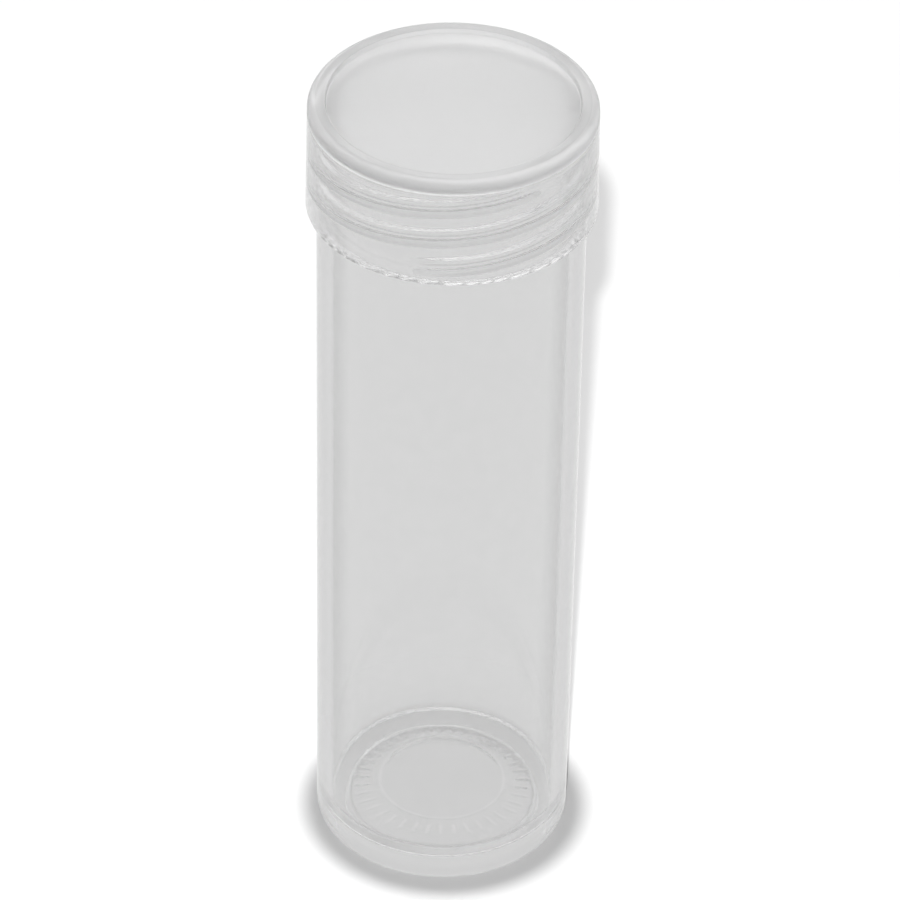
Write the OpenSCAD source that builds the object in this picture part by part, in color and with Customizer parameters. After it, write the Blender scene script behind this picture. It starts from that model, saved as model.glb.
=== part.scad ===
// Round coin tube with its screw cap on.
// The tube stands on the ground plane, and its axis is Z.
// Every radius is measured from that axis, and every height from the ground.

/* [Coins] */
// Diameter of the coins that it holds
coin_d = 21.2; // [16:0.1:32]
// Height of a full stack, here forty coins of 1.95 mm
stack_h = 78; // [40:0.5:120]
// Play round the coins at the floor, on the radius
coin_play = 0.2; // [0.1:0.05:0.8]
// Play between a full stack and the cap
stack_play = 0.5; // [0.4:0.1:4]

/* [Tube] */
// Wall of the tube below its neck
wall_t = 1.5; // [1.2:0.05:2.5]
// How much wider the tube is at its mouth than at its floor, on the radius
tube_draft = 0.15; // [0:0.05:0.5]
// Thickness of the floor
floor_t = 1.6; // [1.2:0.1:3]
// Height of the foot ring that the floor is raised on
foot_h = 2; // [1:0.1:4]
// Width of the foot ring at the floor's underside
foot_w = 3; // [2.4:0.1:4]
// How much the foot ring narrows towards the ground, on its inner side
foot_draft = 0.2; // [0.05:0.05:0.4]
// Radius of the rounded outer edge at the bottom
bottom_round = 1.6; // [0.8:0.1:1.8]
// Radius of the corner where the bore meets the floor
floor_round = 0.6; // [0.2:0.1:1.2]
// Radius of the corner where the floor's underside meets the foot ring
foot_round = 0.5; // [0.2:0.1:0.9]
// Radius on the sharp edges of both mouldings
edge_round = 0.15; // [0.05:0.05:0.3]

/* [Neck] */
// Space that the screw ridges take between neck and skirt, and the depth of the shoulder
ridge_h = 0.5; // [0.4:0.05:0.9]
// Play between the ridges and the wall that faces them
ridge_play = 0.2; // [0.1:0.05:0.4]
// Gap between the shoulder and the lower edge of the cap
shoulder_gap = 0.2; // [0.15:0.05:0.6]
// Radius of the rounded lip round the mouth
mouth_round = 0.3; // [0.1:0.05:0.35]

/* [Cap] */
// Depth of the skirt below the cap's disc, inside
skirt_h = 9.5; // [7:0.1:16]
// Wall of the skirt at its lower edge
skirt_t = 0.8; // [0.7:0.05:1.6]
// How much the skirt narrows towards the top, outside, on the radius
cap_draft = 0.15; // [0:0.05:0.3]
// Thickness of the cap's disc
disc_t = 1.2; // [0.8:0.1:2]
// Depth of the shallow recess in the top
recess_h = 0.43; // [0.3:0.01:1]
// Width of the raised rim round that recess
rim_w = 1.6; // [1.5:0.01:2.4]
// How much the recess narrows towards its floor, on the radius
recess_draft = 0.12; // [0.05:0.01:0.3]
// Radius of the rounded outer edge at the top
cap_round = 0.88; // [0.4:0.01:1.1]
// Radius of the corner inside, where the skirt meets the disc
cap_corner_round = 0.5; // [0.2:0.05:0.5]
// Radius of the rounded lower lip
lip_round = 0.3; // [0.1:0.05:0.32]
// Radius of the gate mark under the middle of the disc
pip_r = 1.5; // [1:0.1:3]
// Height of that gate mark
pip_h = 0.3; // [0.2:0.05:0.35]

/* [Hidden] */
$fn = 128;
// Straight steps in each rounded corner of an outline
arc_steps = 10;

// Heights
floor_z = foot_h + floor_t;
mouth_z = floor_z + stack_h + stack_play;
lip_z = mouth_z - skirt_h;
shoulder_z = lip_z - shoulder_gap;
top_z = mouth_z + disc_t + recess_h;

// Radii of the tube
floor_bore_r = coin_d / 2 + coin_play;
mouth_bore_r = floor_bore_r + tube_draft;
base_r = floor_bore_r + wall_t;
shoulder_r = mouth_bore_r + wall_t;
neck_r = shoulder_r - ridge_h;
foot_r = base_r - foot_w;

// Radii of the cap
skirt_bore_r = shoulder_r + ridge_play;
lip_r = skirt_bore_r + skirt_t;
cap_top_r = lip_r - cap_draft;
recess_r = cap_top_r - rim_w;

// Corners of each outline, from the axis outwards and back: radius, height, rounding
tube_corners = [
    [0, foot_h, 0],
    [foot_r, foot_h, foot_round],
    [foot_r + foot_draft, 0, edge_round],
    [base_r, 0, bottom_round],
    [shoulder_r, shoulder_z, edge_round],
    [neck_r, shoulder_z, edge_round],
    [neck_r, mouth_z, mouth_round],
    [mouth_bore_r, mouth_z, mouth_round],
    [floor_bore_r, floor_z, floor_round],
    [0, floor_z, 0],
];
cap_corners = [
    [0, mouth_z, 0],
    [skirt_bore_r, mouth_z, cap_corner_round],
    [skirt_bore_r, lip_z, lip_round],
    [lip_r, lip_z, lip_round],
    [cap_top_r, top_z, cap_round],
    [recess_r, top_z, edge_round],
    [recess_r - recess_draft, top_z - recess_h, edge_round],
    [0, top_z - recess_h, 0],
];

function place(corner) = [corner.x, corner.y];
function direction(from, to) = (to - from) / norm(to - from);
function turn_sign(into, out) = sign(into.x * out.y - into.y * out.x);

// The arc that touches both sides of a corner
function corner_arc(before, at, after, r) =
    let (
        into = direction(before, at),
        out = direction(at, after),
        half = (180 - acos(into * out)) / 2,
        side = turn_sign(into, out),
        centre = at + direction(into, out) * r / sin(half),
        start = atan2(-side * into.x, side * into.y),
        sweep = side * (180 - 2 * half)
    )
    [for (i = [0:arc_steps]) centre + r * [cos(start + sweep * i / arc_steps), sin(start + sweep * i / arc_steps)]];

// An outline with its corners rounded
function rounded(corners) =
    let (last = len(corners) - 1)
    [for (i = [0:last])
        let (
            before = place(corners[i == 0 ? last : i - 1]),
            at = place(corners[i]),
            after = place(corners[i == last ? 0 : i + 1]),
            r = corners[i].z
        )
        each r > 0 ? corner_arc(before, at, after, r) : [at]];

module moulding(corners) {
    rotate_extrude()
        polygon(rounded(corners));
}

module tube_body() {
    color([0.80, 0.81, 0.81, 0.45])
        moulding(tube_corners);
}

module screw_cap() {
    color([0.84, 0.85, 0.85, 0.6])
        moulding(cap_corners);
}

module cap_gate_pip() {
    color([0.84, 0.85, 0.85])
        translate([0, 0, mouth_z - pip_h])
            cylinder(h = pip_h, r = pip_r);
}

tube_body();
screw_cap();
cap_gate_pip();
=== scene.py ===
import math

import bpy
import numpy as np
from mathutils import Matrix, Vector


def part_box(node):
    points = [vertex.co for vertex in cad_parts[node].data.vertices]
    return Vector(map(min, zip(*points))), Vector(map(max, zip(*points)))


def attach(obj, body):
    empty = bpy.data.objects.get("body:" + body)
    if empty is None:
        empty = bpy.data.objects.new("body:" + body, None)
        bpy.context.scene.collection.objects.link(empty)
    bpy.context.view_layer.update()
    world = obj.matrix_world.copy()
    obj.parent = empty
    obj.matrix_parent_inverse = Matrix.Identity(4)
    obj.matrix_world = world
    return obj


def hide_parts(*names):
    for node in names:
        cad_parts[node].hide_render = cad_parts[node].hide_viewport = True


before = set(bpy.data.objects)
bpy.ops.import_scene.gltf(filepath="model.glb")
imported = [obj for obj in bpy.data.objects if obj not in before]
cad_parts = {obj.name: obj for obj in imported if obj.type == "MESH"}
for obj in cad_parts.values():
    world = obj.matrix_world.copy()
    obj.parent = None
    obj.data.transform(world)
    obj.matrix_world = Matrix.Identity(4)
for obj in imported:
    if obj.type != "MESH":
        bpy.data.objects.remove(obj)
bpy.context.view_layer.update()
mm = 0.001
tiny = 1e-6                   # metres, under which two places are taken as one
print("frame loaded")


# Camera: the photograph's view, solved from the outline of tube and cap

cameraSettings = {
    "pictureSide": 900,       # pixels
    "focalLength": 6104.6,    # pixels
    "distance": 578.74 * mm,
    "tiltDown": 37.403,       # degrees
    "roll": -1.018,           # degrees
    "aimHeight": 42 * mm,
    "acrossShare": -0.000397,  # offsets of the aim, as shares of the distance
    "upShare": -0.00243,
    "sensorWidth": 36.0,      # millimetres
    "nearest": 0.01,
    "farthest": 20.0,
}


def makeCamera(s):
    tilt, roll = math.radians(s["tiltDown"]), math.radians(s["roll"])
    ahead = Vector((0, math.cos(tilt), -math.sin(tilt)))
    across, up = Vector((1, 0, 0)), Vector((0, math.sin(tilt), math.cos(tilt)))
    data = bpy.data.cameras.new("camera")
    data.sensor_width = s["sensorWidth"]
    data.lens = s["focalLength"] / s["pictureSide"] * data.sensor_width
    data.clip_start, data.clip_end = s["nearest"], s["farthest"]
    camera = bpy.data.objects.new("camera", data)
    place = Vector((0, 0, s["aimHeight"])) - s["distance"] * (
        ahead + s["acrossShare"] * across + s["upShare"] * up
    )
    right = math.cos(roll) * across - math.sin(roll) * up
    top = math.sin(roll) * across + math.cos(roll) * up
    turned = Matrix((right, top, -ahead)).transposed().to_4x4()
    camera.matrix_world = Matrix.Translation(place) @ turned
    bpy.context.scene.collection.objects.link(camera)
    bpy.context.scene.camera = camera


makeCamera(cameraSettings)
print("camera placed")


# Small helpers for shader trees

def node(tree, kind, **values):
    made = tree.nodes.new(kind)
    for name, value in values.items():
        setattr(made, name, value)
    return made


def link(tree, source, target):
    tree.links.new(source, target)


def maths(tree, operation, a, b=None, c=None, clamp=False):
    made = node(tree, "ShaderNodeMath", operation=operation, use_clamp=clamp)
    for socket, value in zip(made.inputs, (a, b, c)):
        if value is None:
            continue
        if isinstance(value, (int, float)):
            socket.default_value = value
        else:
            link(tree, value, socket)
    return made.outputs[0]


def newGroup(name, inputs, outputs):
    group = bpy.data.node_groups.new(name, "ShaderNodeTree")
    for label, kind, value in inputs:
        socket = group.interface.new_socket(label, in_out="INPUT", socket_type=kind)
        socket.default_value = value
    for label, kind in outputs:
        group.interface.new_socket(label, in_out="OUTPUT", socket_type=kind)
    return group, node(group, "NodeGroupInput"), node(group, "NodeGroupOutput")


# Moulded surface: slow flow waves, fine haze and a few rubbed marks

mouldedSettings = {
    "waveDetail": 1.5,
    "hazeDetail": 4.0,
    "hazeFrom": 0.3,          # value of the noise at which haze begins, and at which it is full
    "hazeTo": 0.75,
    "rubStretch": (1.0, 1.0, 0.08),   # rubbed marks are long thin noise, laid along the axis
    "rubScale": 900.0,
    "rubDetail": 3.0,
    "rubFrom": 0.58,
    "rubTo": 0.75,
    "rubRelief": 0.2,
}


def makeMouldedGroup(s):
    tree, given, out = newGroup(
        "mouldedSurface",
        [
            ("Wave Size", "NodeSocketFloat", 4.0),
            ("Wave Depth", "NodeSocketFloat", 0.5),
            ("Haze Size", "NodeSocketFloat", 1.2),
            ("Smooth", "NodeSocketFloat", 0.02),
            ("Hazy", "NodeSocketFloat", 0.08),
            ("Rub Amount", "NodeSocketFloat", 0.1),
            ("Shade Low", "NodeSocketFloat", 0.9),
            ("Shade High", "NodeSocketFloat", 0.95),
        ],
        [
            ("Shade", "NodeSocketColor"),
            ("Roughness", "NodeSocketFloat"),
            ("Height", "NodeSocketFloat"),
        ],
    )
    place = node(tree, "ShaderNodeTexCoord").outputs["Object"]
    # sizes are in millimetres, so the pattern scale is 1000 over the size
    waveScale = maths(tree, "DIVIDE", 1000.0, given.outputs["Wave Size"])
    hazeScale = maths(tree, "DIVIDE", 1000.0, given.outputs["Haze Size"])
    wave = node(tree, "ShaderNodeTexNoise")
    wave.inputs["Detail"].default_value = s["waveDetail"]
    link(tree, place, wave.inputs["Vector"])
    link(tree, waveScale, wave.inputs["Scale"])
    haze = node(tree, "ShaderNodeTexNoise")
    haze.inputs["Detail"].default_value = s["hazeDetail"]
    link(tree, place, haze.inputs["Vector"])
    link(tree, hazeScale, haze.inputs["Scale"])
    stretched = node(tree, "ShaderNodeMapping")
    stretched.inputs["Scale"].default_value = s["rubStretch"]
    link(tree, place, stretched.inputs["Vector"])
    marks = node(tree, "ShaderNodeTexNoise")
    marks.inputs["Scale"].default_value = s["rubScale"]
    marks.inputs["Detail"].default_value = s["rubDetail"]
    link(tree, stretched.outputs[0], marks.inputs["Vector"])
    rubbed = node(tree, "ShaderNodeMapRange")
    rubbed.inputs["From Min"].default_value = s["rubFrom"]
    rubbed.inputs["From Max"].default_value = s["rubTo"]
    link(tree, marks.outputs["Fac"], rubbed.inputs["Value"])
    rubs = maths(tree, "MULTIPLY", rubbed.outputs[0], given.outputs["Rub Amount"])
    spread = node(tree, "ShaderNodeMapRange")
    link(tree, haze.outputs["Fac"], spread.inputs["Value"])
    spread.inputs["From Min"].default_value = s["hazeFrom"]
    spread.inputs["From Max"].default_value = s["hazeTo"]
    link(tree, given.outputs["Smooth"], spread.inputs["To Min"])
    link(tree, given.outputs["Hazy"], spread.inputs["To Max"])
    link(tree, maths(tree, "ADD", spread.outputs[0], rubs, clamp=True), out.inputs["Roughness"])
    depth = maths(tree, "MULTIPLY", wave.outputs["Fac"], given.outputs["Wave Depth"])
    link(tree, maths(tree, "MULTIPLY_ADD", rubs, s["rubRelief"], depth), out.inputs["Height"])
    shade = node(tree, "ShaderNodeMapRange")
    link(tree, haze.outputs["Fac"], shade.inputs["Value"])
    link(tree, given.outputs["Shade Low"], shade.inputs["To Min"])
    link(tree, given.outputs["Shade High"], shade.inputs["To Max"])
    grey = node(tree, "ShaderNodeCombineColor")
    for channel in ("Red", "Green", "Blue"):
        link(tree, shade.outputs[0], grey.inputs[channel])
    link(tree, grey.outputs[0], out.inputs["Shade"])
    return tree


mouldedGroup = makeMouldedGroup(mouldedSettings)


def newMaterial(name):
    made = bpy.data.materials.new(name)
    made.use_nodes = True
    tree = made.node_tree
    return made, tree, tree.nodes["Principled BSDF"], tree.nodes["Material Output"]


def clearPlastic(name, s):
    made, tree, shader, out = newMaterial(name)
    surface = node(tree, "ShaderNodeGroup", node_tree=mouldedGroup)
    for socket in surface.inputs:
        socket.default_value = s[socket.name]
    bump = node(tree, "ShaderNodeBump")
    bump.inputs["Strength"].default_value = 1.0
    bump.inputs["Distance"].default_value = s["waveHeight"]
    link(tree, surface.outputs["Height"], bump.inputs["Height"])
    link(tree, bump.outputs[0], shader.inputs["Normal"])
    roughness, shade = surface.outputs["Roughness"], surface.outputs["Shade"]
    if "satinZone" in s:
        roughness, shade = satinInside(tree, roughness, shade, s)
    for zone, film in s["films"]:
        # the grey film lies on the outside: bore and neck are clean, rim and mouth's face have less
        tint = node(tree, "ShaderNodeMix", data_type="RGBA")
        link(tree, zoneMask(tree, zone), tint.inputs[0])
        link(tree, shade, tint.inputs[6])
        tint.inputs[7].default_value = (film,) * 3 + (1,)
        shade = tint.outputs[2]
    for zone, dullness in s["dullZones"]:
        # ridges and rim are a little dull, so what they bend is blurred
        dull = node(tree, "ShaderNodeMix", data_type="FLOAT")
        link(tree, zoneMask(tree, zone), dull.inputs["Factor"])
        link(tree, roughness, dull.inputs["A"])
        dull.inputs["B"].default_value = dullness
        roughness = dull.outputs[0]
    # painted shade at the edges: the grey film on the outside is looked through on a slant there, and the
    # base colour is darkened by how edge-on the surface is seen, partly for the film's longer path and
    # partly standing in for the dark edges that clear plastic shows
    facing = node(tree, "ShaderNodeLayerWeight").outputs["Facing"]
    slant = node(tree, "ShaderNodeMapRange")
    link(tree, facing, slant.inputs["Value"])
    slant.inputs["From Min"].default_value = s["edgeFrom"]
    slant.inputs["From Max"].default_value = s["edgeTo"]
    slant.inputs["To Min"].default_value = 1.0
    slant.inputs["To Max"].default_value = s["paintedEdgeShade"]
    film = node(tree, "ShaderNodeMix", data_type="RGBA", blend_type="MULTIPLY")
    film.inputs[0].default_value = 1.0
    link(tree, shade, film.inputs[6])
    link(tree, slant.outputs[0], film.inputs[7])
    link(tree, film.outputs[2], shader.inputs["Base Color"])
    link(tree, roughness, shader.inputs["Roughness"])
    shader.inputs["IOR"].default_value = s["ior"]
    shader.inputs["Transmission Weight"].default_value = s["transmission"]
    inside = node(tree, "ShaderNodeVolumeAbsorption")
    inside.inputs["Color"].default_value = s["tint"]
    inside.inputs["Density"].default_value = s["density"]
    link(tree, inside.outputs[0], out.inputs["Volume"])
    # a lamp shines through it, weaker at each face
    through = node(tree, "ShaderNodeBsdfTransparent")
    through.inputs["Color"].default_value = (s["lampThrough"],) * 3 + (1,)
    path = node(tree, "ShaderNodeLightPath")
    mix = node(tree, "ShaderNodeMixShader")
    link(tree, path.outputs["Is Shadow Ray"], mix.inputs[0])
    link(tree, shader.outputs[0], mix.inputs[1])
    link(tree, through.outputs[0], mix.inputs[2])
    link(tree, mix.outputs[0], out.inputs["Surface"])
    return made


def zoneMask(tree, zone):
    # one inside a zone, which is a least and a widest radius, a lowest and a highest height
    least, widest, lowest, highest = zone
    parts = node(tree, "ShaderNodeSeparateXYZ")
    link(tree, node(tree, "ShaderNodeTexCoord").outputs["Object"], parts.inputs[0])
    x, y, z = parts.outputs
    radius = maths(tree, "SQRT", maths(tree, "MULTIPLY_ADD", x, x, maths(tree, "MULTIPLY", y, y)))
    bounds = [("GREATER_THAN", radius, least), ("LESS_THAN", radius, widest),
              ("GREATER_THAN", z, lowest), ("LESS_THAN", z, highest)]
    mask = 1.0
    for test, value, limit in bounds:
        mask = maths(tree, "MULTIPLY", maths(tree, test, value, limit), mask)
    return mask


def satinInside(tree, roughness, shade, s):
    # one zone is rougher, with a fine grain
    mask = zoneMask(tree, s["satinZone"])
    place = node(tree, "ShaderNodeTexCoord").outputs["Object"]
    grain = node(tree, "ShaderNodeTexNoise")
    grain.inputs["Scale"].default_value = s["satinGrain"]
    grain.inputs["Detail"].default_value = s["satinDetail"]
    link(tree, place, grain.inputs["Vector"])
    satin = node(tree, "ShaderNodeMapRange")
    link(tree, grain.outputs["Fac"], satin.inputs["Value"])
    satin.inputs["To Min"].default_value = s["satinLow"]
    satin.inputs["To Max"].default_value = s["satinHigh"]
    rough = node(tree, "ShaderNodeMix", data_type="FLOAT")
    link(tree, mask, rough.inputs["Factor"])
    link(tree, roughness, rough.inputs["A"])
    link(tree, satin.outputs[0], rough.inputs["B"])
    # fingers leave broad faint smudges on it
    smudge = node(tree, "ShaderNodeTexNoise")
    smudge.inputs["Scale"].default_value = s["smudgeScale"]
    link(tree, place, smudge.inputs["Vector"])
    lighter = node(tree, "ShaderNodeMapRange")
    link(tree, smudge.outputs["Fac"], lighter.inputs["Value"])
    lighter.inputs["From Min"].default_value = s["smudgeFrom"]
    lighter.inputs["From Max"].default_value = s["smudgeTo"]
    lighter.inputs["To Min"].default_value = s["smudgeLow"]
    lighter.inputs["To Max"].default_value = s["smudgeHigh"]
    tint = node(tree, "ShaderNodeMix", data_type="RGBA")
    link(tree, mask, tint.inputs[0])
    link(tree, shade, tint.inputs[6])
    link(tree, lighter.outputs[0], tint.inputs[7])
    return rough.outputs[0], tint.outputs[2]


plasticSettings = {
    "Wave Size": 9.0, "Wave Depth": 1.0, "Haze Size": 1.6,
    "Smooth": 0.03, "Hazy": 0.08, "Rub Amount": 0.05,
    "Shade Low": 0.65, "Shade High": 0.69,
    "waveHeight": 0.004 * mm, "ior": 1.49, "transmission": 1.0,
    "tint": (0.5, 0.5, 0.5, 1), "density": 4.0, "lampThrough": 0.3, "films": [], "dullZones": [],
    "edgeFrom": 0.58, "edgeTo": 0.95, "paintedEdgeShade": 1.0,
    "satinGrain": 1800.0, "satinDetail": 6.0, "smudgeScale": 140.0, "smudgeFrom": 0.3, "smudgeTo": 0.7,
}
tubePlastic = clearPlastic("tubePlastic", dict(plasticSettings, **{
    # the edge shade value is painted shade, darkening the tube's colour where it is seen edge-on
    "paintedEdgeShade": 0.35,
    "films": [
        ((-1, 11.6 * mm, 4.4 * mm, 90 * mm), 0.985),
        ((-1, 20 * mm, 72.3 * mm, 90 * mm), 0.985),
        ((10.8 * mm, 12 * mm, 81.97 * mm, 90 * mm), 0.72),
        ((5 * mm, 9.5 * mm, 3.63 * mm, 3.9 * mm), 1.0),
    ],
    "dullZones": [((11.97 * mm, 20 * mm, 73.5 * mm, 81.95 * mm), 0.14)],
    "satinZone": (-1, 10.9 * mm, 3.4 * mm, 4.4 * mm),
    "satinLow": 0.16, "satinHigh": 0.26, "smudgeLow": 0.88, "smudgeHigh": 0.91,
}))
capPlastic = clearPlastic("capPlastic", dict(plasticSettings, **{
    # the edge shade value is painted shade, darkening the cap's colour where it is seen edge-on
    "Smooth": 0.06, "Hazy": 0.13, "Shade Low": 0.66, "Shade High": 0.70, "paintedEdgeShade": 0.62,
    "films": [
        ((-1, 12.9 * mm, 0, 82.3 * mm), 0.985),
        ((11.72 * mm, 12.6 * mm, 82.4 * mm, 84 * mm), 0.70),
        ((12.6 * mm, 14 * mm, 82.4 * mm, 84 * mm), 0.84),
    ],
    "dullZones": [
        ((12 * mm, 12.63 * mm, 73 * mm, 81.5 * mm), 0.3),
        ((11.72 * mm, 14 * mm, 82.4 * mm, 84 * mm), 0.3),
    ],
    "satinZone": (-1, 11.72 * mm, 82.3 * mm, 84.0 * mm),
    "satinLow": 0.50, "satinHigh": 0.60, "smudgeLow": 0.92, "smudgeHigh": 0.95,
}))
# the gate mark hardly bends light, so it stays unseen through the disc
pipPlastic = clearPlastic("pipPlastic", dict(plasticSettings, **{
    "Smooth": 0.14, "Hazy": 0.24, "Shade Low": 0.98, "Shade High": 0.99, "ior": 1.02,
}))
print("materials made")


# Turned shapes: an outline of radius and height, its corners rounded, spun round the axis

def roundedOutline(corners, steps):
    points = []
    count = len(corners)
    for i, (radius, height, rounding) in enumerate(corners):
        at = np.array((radius, height))
        if not rounding:
            points.append(at)
            continue
        before, after = np.array(corners[i - 1][:2]), np.array(corners[(i + 1) % count][:2])
        arriving = (at - before) / np.linalg.norm(at - before)
        leaving = (after - at) / np.linalg.norm(after - at)
        half = (math.pi - math.acos(np.clip(arriving @ leaving, -1, 1))) / 2
        side = np.sign(arriving[0] * leaving[1] - arriving[1] * leaving[0])
        inwards = leaving - arriving
        centre = at + inwards / np.linalg.norm(inwards) * rounding / math.sin(half)
        start = math.atan2(-side * arriving[0], side * arriving[1])
        for k in range(steps + 1):
            angle = start + side * (math.pi - 2 * half) * k / steps
            points.append(centre + rounding * np.array((math.cos(angle), math.sin(angle))))
    return points


def withRows(points, spacingOf, hold):
    # long stretches get a row close to each end, which holds the shading, and rows between
    rows = [points[0]]
    for a, b in zip(points[:-1], points[1:]):
        length = np.linalg.norm(b - a)
        if length > 3 * hold:
            along = (b - a) / length
            count = int((length - 2 * hold) / spacingOf(a, b))
            stations = [hold, *np.linspace(hold, length - hold, count + 2)[1:-1], length - hold]
            rows += [a + along * s for s in stations]
        rows.append(b)
    return rows


shortestWall = 5 * mm         # a stretch that carries a screw band is longer than this


def splitAt(outline, wall):
    # the one straight stretch at this radius is left open for the screw band
    for i in range(len(outline) - 1):
        a, b = outline[i], outline[i + 1]
        onWall = abs(a[0] - wall) < tiny and abs(b[0] - wall) < tiny
        if onWall and abs(b[1] - a[1]) > shortestWall:
            return outline[:i + 1], outline[i + 1:]


def smoothStep(x):
    x = np.clip(x, 0, 1)
    return x * x * (3 - 2 * x)


def spin(name, below, band, above, around, relief):
    # rings of points from two outlines, with the screw band between them, all as one skin
    angles = np.arange(around) * 2 * math.pi / around
    vertices, faces = [], []

    def ringsOf(rows):
        index = np.zeros((len(rows), around), int)
        for j, (radius, height) in enumerate(rows):
            for i in range(around if radius > tiny else 1):
                r, z = relief(angles[i], radius, height)
                index[j, i:] = len(vertices)
                vertices.append((r * math.cos(angles[i]), r * math.sin(angles[i]), z))
        return index

    def addFace(corners):
        kept = [c for n, c in enumerate(corners) if c not in corners[:n]]
        if len(kept) > 2:
            faces.append(kept)

    lower, upper = ringsOf(below), ringsOf(above)
    for index in (lower, upper):
        for j in range(len(index) - 1):
            for i in range(around):
                k = (i + 1) % around
                addFace([index[j, i], index[j, k], index[j + 1, k], index[j + 1, i]])

    # rows of the band climb with the ridges, so each ridge keeps its section all the way round
    start, end = below[-1][1], above[0][1]
    low, high = min(start, end), max(start, end)
    lowRing, highRing = (lower[-1], upper[0]) if start < end else (upper[0], lower[-1])
    stations, spacing, count = band["stations"], band["spacing"], len(band["stations"])
    # first and last row, from a few turns below the band to one above it
    first = math.floor((low - band["reference"]) / spacing - 3) * count
    last = math.ceil((high - band["reference"]) / spacing + 1) * count
    made = {}

    def corner(i, m):
        if i == around:
            i, m = 0, m + 2 * count
        middle = band["reference"] + (m // count) * spacing + 2 * spacing * i / around
        z = middle + stations[m % count]
        if z < low + band["least"]:
            return lowRing[i]
        if z > high - band["least"]:
            return highRing[i]
        if (i, m) not in made:
            radius = band["radiusAt"](stations[m % count], middle)
            made[i, m] = len(vertices)
            vertices.append((radius * math.cos(angles[i]), radius * math.sin(angles[i]), z))
        return made[i, m]

    for i in range(around):
        for m in range(first, last):
            face = [corner(i, m), corner(i + 1, m), corner(i + 1, m + 1), corner(i, m + 1)]
            addFace(face if start < end else face[::-1])

    mesh = bpy.data.meshes.new(name)
    mesh.from_pydata(vertices, [], faces)
    mesh.polygons.foreach_set("use_smooth", [True] * len(mesh.polygons))
    mesh.update()
    spun = bpy.data.objects.new(name, mesh)
    bpy.context.scene.collection.objects.link(spun)
    return spun


frontTurn = 0.75              # the camera's side, in turns from the X axis


def screwBand(wall, outwards, s):
    # two ridges wind up the wall together, so a front line is met every half lead
    crest, spacing = s["crest"] / 2, s["lead"] / 2

    def flank(reach):
        rows = np.linspace(crest, reach, s["flankRows"])
        return [crest / 2, *rows, reach + s["edge"], (reach + spacing / 2) / 2]

    stations = [-spacing / 2, *(-x for x in reversed(flank(s["below"]))), 0, *flank(s["above"])]

    def radiusAt(away, middle):
        reach = s["above"] if away > 0 else s["below"]
        section = smoothStep((reach - abs(away)) / (reach - crest))
        ends = smoothStep((middle - s["low"]) / s["fade"]) * smoothStep((s["high"] - middle) / s["fade"])
        return wall + outwards * s["height"] * section * ends

    return {
        "stations": stations,
        "spacing": spacing,
        "reference": s["front"] - frontTurn * s["lead"],
        "least": 0.02 * mm,
        "radiusAt": radiusAt,
    }


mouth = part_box("tube_body")[1].z
capLow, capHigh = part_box("screw_cap")

tubeShape = {
    "around": 440,
    "arcSteps": 8,
    "rowSpacing": 4 * mm,
    "fineSpacing": 0.12 * mm,
    "hold": 0.12 * mm,
    "footRadius": 9.3 * mm,
    "footDraft": 0.2 * mm,
    "footHeight": 2.0 * mm,
    "footRound": 0.5 * mm,
    "floorHeight": 3.6 * mm,
    "floorRound": 0.6 * mm,
    "baseRadius": 12.3 * mm,
    "bottomRound": 1.6 * mm,
    "boreRadius": 10.8 * mm,
    "mouthBoreRadius": 10.95 * mm,
    "shoulderRadius": 12.45 * mm,
    "shoulderHeight": 72.4 * mm,
    "neckRadius": 11.95 * mm,
    "edgeRound": 0.15 * mm,
    "mouthRound": 0.3 * mm,
}
tubeMarks = {
    "ringRadius": 6.1 * mm,
    "width": 0.3 * mm,
    "height": 0.09 * mm,
    "strokes": 40,
    "strokeRadius": 7.9 * mm,
    "strokeLength": 1.5 * mm,
    "fineFrom": 1 * mm,       # closer to the axis there are no fine rows
}
tubeRipple = {
    "count": 80,
    "slant": 2.4,
    "depth": 0.30 * mm,
    "even": 0.5,              # shares of the depth: an even cut, a wave, and unevenness
    "wave": 0.35,
    "uneven": 0.15,
    "unevenWaves": (23, 8.51),
    "unevenStarts": (1.3, 0.7),
    "near": 0.05 * mm,        # the cut is made this close to the shoulder, and this far outside the neck
    "outside": 0.01 * mm,
}
tubeScrew = {
    "lead": 6.4 * mm,
    "front": 77.85 * mm,
    "above": 0.35 * mm,       # reach of the steep flank, and of the gentle one
    "below": 0.75 * mm,
    "crest": 0.2 * mm,
    "height": 0.42 * mm,
    "flankRows": 7,
    "edge": 0.08 * mm,
    "low": 74.2 * mm,
    "high": 81.85 * mm,
    "fade": 0.5 * mm,
}


def softEdge(distance, width):
    # one up to a quarter of the width, and none from three quarters
    return smoothStep(1.5 - distance / width * 2)


def floorMarks(angle, radius, height, floorHeight, s):
    # a plain raised ring, and short strokes round it
    onFloor = np.abs(height - floorHeight) < tiny
    ring = softEdge(np.abs(radius - s["ringRadius"]), s["width"])
    across = np.abs((angle * s["strokes"] / (2 * math.pi) + 0.5) % 1 - 0.5)
    across = across * 2 * math.pi * radius / s["strokes"]
    along = np.abs(radius - s["strokeRadius"]) - s["strokeLength"] / 2
    stroke = softEdge(across, s["width"]) * smoothStep(0.5 - along / s["width"])
    return np.where(onFloor, s["height"] * np.maximum(ring, stroke), 0)


def shoulderRipple(angle, radius, height, s, ripple):
    # the cut left by the mould's parting: slanting ripples on the shoulder
    level = np.abs(height - s["shoulderHeight"]) < ripple["near"]
    onShoulder = level & (radius > s["neckRadius"] + ripple["outside"])
    across = (radius - s["neckRadius"]) / (s["shoulderRadius"] - s["neckRadius"])
    wave = np.sin(ripple["count"] * angle + ripple["slant"] * across)
    (quick, slow), (start, later) = ripple["unevenWaves"], ripple["unevenStarts"]
    uneven = np.sin(quick * angle + start) * np.sin(later + slow * angle.round(3))
    cut = ripple["even"] + ripple["wave"] * wave + ripple["uneven"] * uneven
    return np.where(onShoulder, -ripple["depth"] * cut * across, 0)


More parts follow.
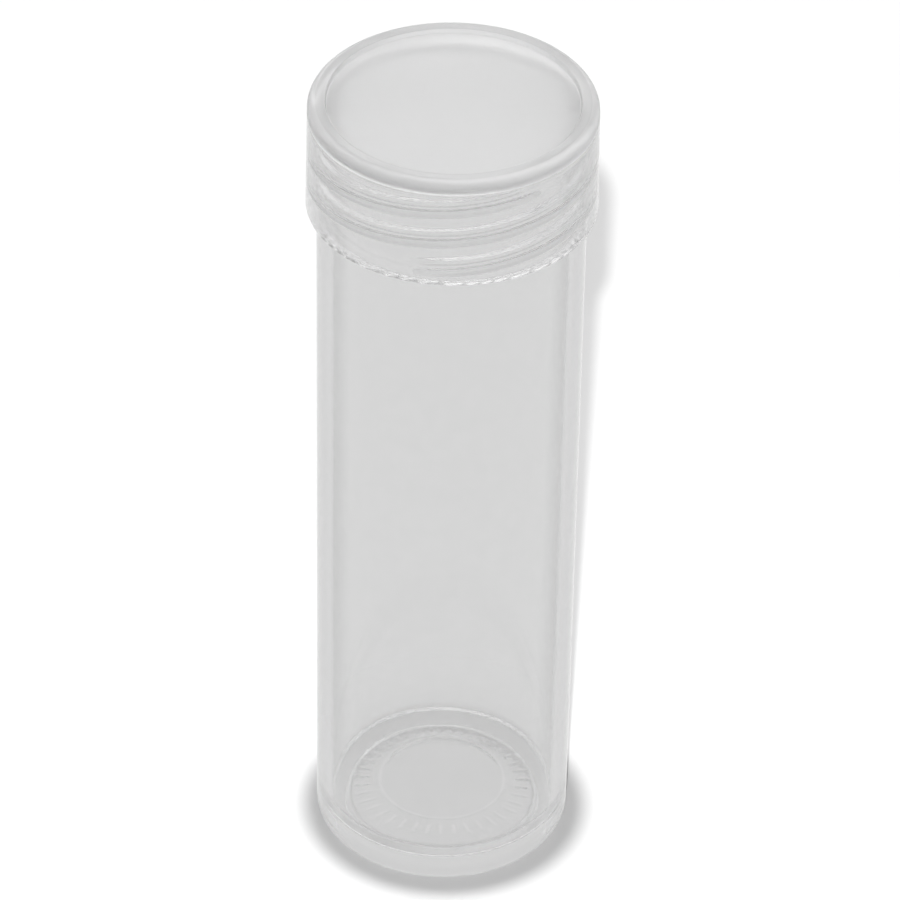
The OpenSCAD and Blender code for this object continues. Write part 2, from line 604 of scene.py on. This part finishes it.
def makeTube(s, screw, marks, ripple):
    top = mouth
    corners = [
        (0, s["footHeight"], 0),
        (s["footRadius"], s["footHeight"], s["footRound"]),
        (s["footRadius"] + s["footDraft"], 0, s["edgeRound"]),
        (s["baseRadius"], 0, s["bottomRound"]),
        (s["shoulderRadius"], s["shoulderHeight"], s["edgeRound"]),
        (s["neckRadius"], s["shoulderHeight"], s["edgeRound"]),
        (s["neckRadius"], top, s["mouthRound"]),
        (s["mouthBoreRadius"], top, s["mouthRound"]),
        (s["boreRadius"], s["floorHeight"], s["floorRound"]),
        (marks["ringRadius"] - marks["width"], s["floorHeight"], 0),
        (0, s["floorHeight"], 0),
    ]
    outline = roundedOutline(corners, s["arcSteps"])
    below, above = splitAt(outline, s["neckRadius"])

    def spacingOf(a, b):
        onShoulder = abs(a[1] - s["shoulderHeight"]) < tiny and abs(b[1] - a[1]) < tiny
        onMarks = abs(a[1] - s["floorHeight"]) < tiny and b[0] > marks["fineFrom"]
        return s["fineSpacing"] if onShoulder or onMarks else s["rowSpacing"]

    def relief(angle, radius, height):
        raised = floorMarks(angle, radius, height, s["floorHeight"], marks)
        return radius, height + raised + shoulderRipple(angle, radius, height, s, ripple)

    below, above = (withRows(part, spacingOf, s["hold"]) for part in (below, above))
    return spin("clearTube", below, screwBand(s["neckRadius"], 1, screw), above, s["around"], relief)


clearTube = makeTube(tubeShape, tubeScrew, tubeMarks, tubeRipple)
clearTube.data.materials.append(tubePlastic)
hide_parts("tube_body")
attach(clearTube, "tube")
print("tube made")

capShape = {
    "around": 720,
    "arcSteps": 8,
    "rowSpacing": 3 * mm,
    "hold": 0.1 * mm,
    "boreRadius": 12.65 * mm,
    "cornerRound": 0.5 * mm,
    "lipRadius": 13.45 * mm,
    "lipRound": 0.14 * mm,
    "topRadius": 13.3 * mm,
    "topRound": 0.88 * mm,
    "recessRadius": 11.70 * mm,
    "recessDraft": 0.12 * mm,
    "recessDepth": 0.43 * mm,
    "edgeRound": 0.15 * mm,
    "lipSpacing": 0.06 * mm,
    "air": 0.02 * mm,         # keeps the disc's underside off the mouth's face
}
capScrew = dict(
    tubeScrew,
    front=tubeScrew["front"] - 0.9 * mm,
    above=0.55 * mm,
    below=0.55 * mm,
    crest=0.3 * mm,
    low=73.4 * mm,
    high=80.9 * mm,
    height=0.32 * mm,
)
capTeeth = {
    "count": 46,
    "height": 0.42 * mm,
    "strongest": -123,        # degrees, where they are that high; elsewhere they are lower
    "elsewhere": 0.4,
    "nearFrom": 0.8,          # cosine at which they begin to rise to it, and how far on they reach it
    "nearSpan": 0.15,
    "drop": 0.25,             # share of a tooth's length in which it falls back
    "uneven": 0.22,           # how far the teeth wander from an even pitch, in two slow waves
    "wander": [(5, 0.4), (11, 2.1)],
    "reach": 0.10 * mm,
    "fade": 0.2,              # share of the lip's width over which they fade at both sides
}


def toothLift(angle, s):
    turn = angle * s["count"] / (2 * math.pi)
    for waves, start in s["wander"]:
        turn += s["uneven"] * math.sin(waves * angle + start)
    share = turn % 1
    climb, drop = share / (1 - s["drop"]), (1 - share) / s["drop"]
    close = math.cos(angle - math.radians(s["strongest"]))
    near = smoothStep((close - s["nearFrom"]) / s["nearSpan"])
    return s["height"] * (s["elsewhere"] + (1 - s["elsewhere"]) * near) * min(climb, drop)


def makeCap(s, screw, teeth):
    lip, top = capLow.z, capHigh.z
    under = mouth + s["air"]
    corners = [
        (0, under, 0),
        (s["boreRadius"], under, s["cornerRound"]),
        (s["boreRadius"], lip, s["lipRound"]),
        (s["lipRadius"], lip, s["lipRound"]),
        (s["topRadius"], top, s["topRound"]),
        (s["recessRadius"], top, s["edgeRound"]),
        (s["recessRadius"] - s["recessDraft"], top - s["recessDepth"], s["edgeRound"]),
        (0, top - s["recessDepth"], 0),
    ]
    outline = roundedOutline(corners, s["arcSteps"])

    def spacingOf(a, b):
        return s["lipSpacing"] if max(a[1], b[1]) < lip + tiny else s["rowSpacing"]

    parts = [withRows(part, spacingOf, s["hold"]) for part in splitAt(outline, s["boreRadius"])]

    def relief(angle, radius, height):
        # teeth under the lip: each climbs slowly and drops at its end
        across = (radius - s["boreRadius"]) / (s["lipRadius"] - s["boreRadius"])
        if height > lip + teeth["reach"] or across < 0:
            return radius, height
        fade = smoothStep(across / teeth["fade"]) * smoothStep((1 - across) / teeth["fade"])
        return radius, height + toothLift(angle, teeth) * fade

    band = screwBand(s["boreRadius"], -1, screw)
    cap = spin("clearCap", parts[0], band, parts[1], s["around"], relief)
    cap.data.materials.append(capPlastic)
    return cap


clearCap = makeCap(capShape, capScrew, capTeeth)
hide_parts("screw_cap")
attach(clearCap, "cap")
print("cap made")

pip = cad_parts["cap_gate_pip"]
pip.data.materials.clear()
pip.data.materials.append(pipPlastic)


# Floor, world and lamps

floorSettings = {
    "radius": 1.6,
    "sides": 96,
    "colour": (0.88, 0.88, 0.88, 1),
    "roughness": 0.9,
    "glow": 0.02,             # lifts the floor a little where it is seen
    "height": -0.02 * mm,     # just under the foot, so that no two faces meet
    "shadowFrom": 13 * mm,    # seen through the plastic, its shading fades out over this stretch
    "shadowTo": 24 * mm,
    "farShade": 0.92,         # seen through the plastic, the floor is duller a long way off
    "farFrom": 140 * mm,
    "farTo": 220 * mm,
    "whiteFrom": 0.12,        # seen by the camera, it turns plain white over this stretch
    "whiteTo": 0.5,
    "gathered": 1.75,         # what rays led along the walls see, so that ridges and corners glow
    "footShare": 0.10,        # the same, inside the foot ring
    "footFrom": 8 * mm,
    "footTo": 10 * mm,
    "shadowShare": 0.20,      # of its shading that is seen through the plastic close to the axis
}


def seenDirectly(tree, path):
    # a glossy or transmitted ray that has not yet met a dull surface
    seen = maths(tree, "MAXIMUM", path.outputs["Is Glossy Ray"], path.outputs["Is Transmission Ray"])
    return maths(tree, "MULTIPLY", seen, maths(tree, "LESS_THAN", path.outputs["Diffuse Depth"], 0.5))


ledSettings = {"from": 8.0, "to": 20.0}   # bounces over which a ray comes to be led along inside the walls


def gathered(tree, path):
    led = node(tree, "ShaderNodeMapRange", interpolation_type="SMOOTHSTEP")
    link(tree, path.outputs["Ray Depth"], led.inputs["Value"])
    led.inputs["From Min"].default_value = ledSettings["from"]
    led.inputs["From Max"].default_value = ledSettings["to"]
    return led.outputs[0]


def makeFloor(s):
    bpy.ops.mesh.primitive_circle_add(vertices=s["sides"], radius=s["radius"], fill_type="NGON")
    floor = bpy.context.object
    floor.name = "floor"
    floor.location.z = s["height"]
    made, tree, shader, out = newMaterial("floorPaper")
    shader.inputs["Base Color"].default_value = s["colour"]
    shader.inputs["Roughness"].default_value = s["roughness"]
    shader.inputs["Specular IOR Level"].default_value = 0.0
    path = node(tree, "ShaderNodeLightPath")
    glow = node(tree, "ShaderNodeEmission")
    seen = maths(tree, "MAXIMUM", path.outputs["Is Camera Ray"], seenDirectly(tree, path))
    link(tree, maths(tree, "MULTIPLY", seen, s["glow"]), glow.inputs["Strength"])
    both = node(tree, "ShaderNodeAddShader")
    link(tree, shader.outputs[0], both.inputs[0])
    link(tree, glow.outputs[0], both.inputs[1])
    white = node(tree, "ShaderNodeEmission")
    place = node(tree, "ShaderNodeTexCoord").outputs["Object"]
    reach = node(tree, "ShaderNodeVectorMath", operation="LENGTH")
    link(tree, place, reach.inputs[0])
    far = node(tree, "ShaderNodeMapRange", interpolation_type="SMOOTHSTEP")
    link(tree, reach.outputs["Value"], far.inputs["Value"])
    far.inputs["From Min"].default_value = s["shadowFrom"]
    far.inputs["From Max"].default_value = s["shadowTo"]
    far.inputs["To Min"].default_value = 1 - s["shadowShare"]
    underFoot = node(tree, "ShaderNodeMapRange", interpolation_type="SMOOTHSTEP")
    link(tree, reach.outputs["Value"], underFoot.inputs["Value"])
    underFoot.inputs["From Min"].default_value = s["footFrom"]
    underFoot.inputs["From Max"].default_value = s["footTo"]
    underFoot.inputs["To Min"].default_value = 1 - s["footShare"]
    underFoot.inputs["To Max"].default_value = 1 - s["shadowShare"]
    faded = maths(tree, "MAXIMUM", far.outputs[0], underFoot.outputs[0])
    led = gathered(tree, path)
    dull = node(tree, "ShaderNodeMapRange", interpolation_type="SMOOTHSTEP")
    link(tree, reach.outputs["Value"], dull.inputs["Value"])
    dull.inputs["From Min"].default_value = s["farFrom"]
    dull.inputs["From Max"].default_value = s["farTo"]
    dull.inputs["To Min"].default_value = 1.0
    dull.inputs["To Max"].default_value = s["farShade"]
    level = maths(tree, "MULTIPLY_ADD", led, s["gathered"] - 1, dull.outputs[0])
    level = maths(tree, "MAXIMUM", level, path.outputs["Is Camera Ray"])
    link(tree, level, white.inputs["Strength"])
    plain = node(tree, "ShaderNodeMapRange", interpolation_type="SMOOTHSTEP")
    link(tree, reach.outputs["Value"], plain.inputs["Value"])
    plain.inputs["From Min"].default_value = s["whiteFrom"]
    plain.inputs["From Max"].default_value = s["whiteTo"]
    background = maths(tree, "MULTIPLY", plain.outputs[0], path.outputs["Is Camera Ray"])
    mix = node(tree, "ShaderNodeMixShader")
    whole = maths(tree, "MAXIMUM", maths(tree, "MULTIPLY", faded, seenDirectly(tree, path)), led)
    whole = maths(tree, "MAXIMUM", whole, background)
    link(tree, whole, mix.inputs[0])
    link(tree, both.outputs[0], mix.inputs[1])
    link(tree, white.outputs[0], mix.inputs[2])
    link(tree, mix.outputs[0], out.inputs["Surface"])
    floor.data.materials.append(made)


makeFloor(floorSettings)

worldSettings = {
    "seen": 1.0,
    "ambient": 0.05,
    # soft panels that gloss and clear plastic show: toward, cosines from rim to full strength, strength
    "panels": [
        ((-0.25, 0.75, 0.61), (0.85, 0.96), 0.6),   # high behind the object
        ((0.0, 0.0, 1.0), (0.90, 0.97), 1.0),       # overhead
    ],
    "gathered": 1.75,
    "inside": 0.8,                       # what haze inside the walls gets through them
}


def makeWorld(s):
    world = bpy.data.worlds.new("studio")
    bpy.context.scene.world = world
    world.use_nodes = True
    tree = world.node_tree
    tree.nodes.clear()
    out = node(tree, "ShaderNodeOutputWorld")
    path = node(tree, "ShaderNodeLightPath")
    look = node(tree, "ShaderNodeTexCoord").outputs["Generated"]
    bright = s["seen"]
    for direction, edge, strength in s["panels"]:
        toward = node(tree, "ShaderNodeVectorMath", operation="DOT_PRODUCT")
        toward.inputs[1].default_value = Vector(direction).normalized()
        link(tree, look, toward.inputs[0])
        panel = node(tree, "ShaderNodeMapRange", interpolation_type="SMOOTHSTEP")
        link(tree, toward.outputs["Value"], panel.inputs["Value"])
        panel.inputs["From Min"].default_value, panel.inputs["From Max"].default_value = edge
        panel.inputs["To Max"].default_value = strength
        bright = maths(tree, "ADD", panel.outputs[0], bright)
    seen = maths(tree, "MULTIPLY", seenDirectly(tree, path), maths(tree, "SUBTRACT", bright, s["ambient"]))
    shown = maths(tree, "MULTIPLY", path.outputs["Is Camera Ray"], s["seen"] - s["ambient"])
    strength = maths(tree, "ADD", maths(tree, "ADD", seen, shown), s["ambient"])
    hazed = maths(tree, "GREATER_THAN", path.outputs["Diffuse Depth"], 0.5)
    hazed = maths(tree, "MULTIPLY", hazed, path.outputs["Is Transmission Ray"])
    strength = maths(tree, "MULTIPLY_ADD", hazed, s["inside"] - s["ambient"], strength)
    strength = maths(tree, "MULTIPLY_ADD", gathered(tree, path), s["gathered"] - 1, strength)
    back = node(tree, "ShaderNodeBackground")
    back.inputs["Color"].default_value = (1, 1, 1, 1)
    link(tree, strength, back.inputs["Strength"])
    link(tree, back.outputs[0], out.inputs["Surface"])


makeWorld(worldSettings)

# azimuth is measured from the camera's side, and left is negative
lampSettings = [
    {"name": "keyLamp", "azimuth": -2.3, "height": 39.0, "distance": 3.0, "size": 0.05, "power": 61.0},
    {"name": "topLamp", "azimuth": -120.0, "height": 89.75, "distance": 2.0, "size": 0.07, "power": 29.0},
]


lampAim = 40 * mm             # height that the lamps point at


def makeLamps(lamps):
    middle = Vector((0, 0, lampAim))
    for s in lamps:
        data = bpy.data.lights.new(s["name"], "AREA")
        data.shape = "DISK"
        data.size = s["size"]
        data.energy = s["power"]
        lamp = bpy.data.objects.new(s["name"], data)
        turn, rise = math.radians(s["azimuth"]), math.radians(s["height"])
        toward = Vector((math.sin(turn) * math.cos(rise), -math.cos(turn) * math.cos(rise), math.sin(rise)))
        lamp.location = middle + s["distance"] * toward
        lamp.rotation_euler = (-toward).to_track_quat("-Z", "Y").to_euler()
        lamp.visible_camera = False
        lamp.visible_glossy = False
        lamp.visible_transmission = False
        bpy.context.scene.collection.objects.link(lamp)


makeLamps(lampSettings)
bpy.context.scene.view_settings.view_transform = "Standard"
bounces = 96                  # light is passed on many times inside thin clear walls
cycles = bpy.context.scene.cycles
cycles.max_bounces = cycles.transmission_bounces = cycles.glossy_bounces = bounces
print("studio made")
